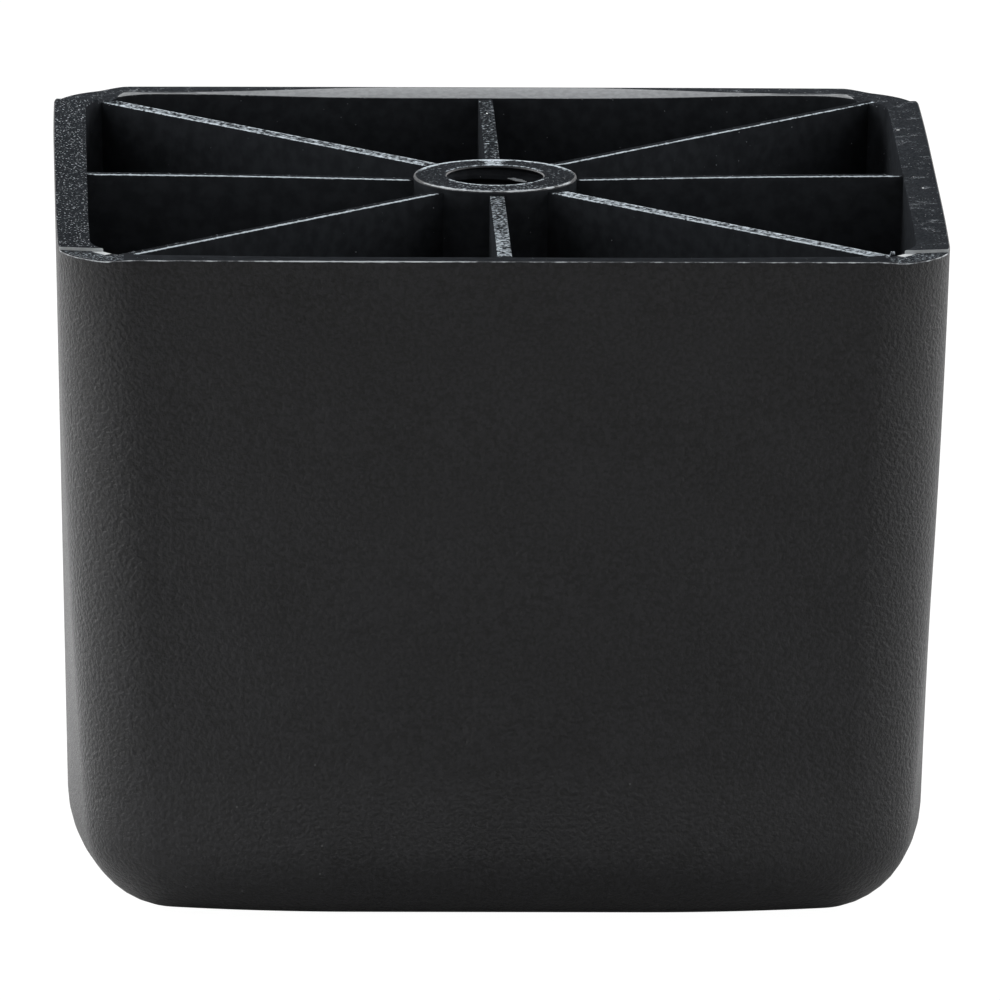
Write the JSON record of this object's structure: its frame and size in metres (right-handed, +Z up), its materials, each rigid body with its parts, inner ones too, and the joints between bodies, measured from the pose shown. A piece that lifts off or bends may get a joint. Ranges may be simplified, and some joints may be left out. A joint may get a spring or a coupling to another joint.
{
  "type": "plastic furniture leg",
  "caption": "Square tapered furniture leg of black plastic, moulded hollow with radial ribs around a central boss that screws onto a stud under the furniture.",
  "frame": {"origin": "centre of the foot's flat underside, on the floor that the leg stands on", "axes": "+Z up along the bore, from the foot to the open rim; X and Y square to the side walls"},
  "size_m": [0.0782, 0.0782, 0.06],
  "materials": {
    "black_plastic": "black moulded plastic: fine matte spark-eroded grain outside, smoother inside, edges of the rim and ribs whitened by handling"
  },
  "bodies": {
    "root": {"leg_body": "black_plastic"}
  },
  "joints": []
}
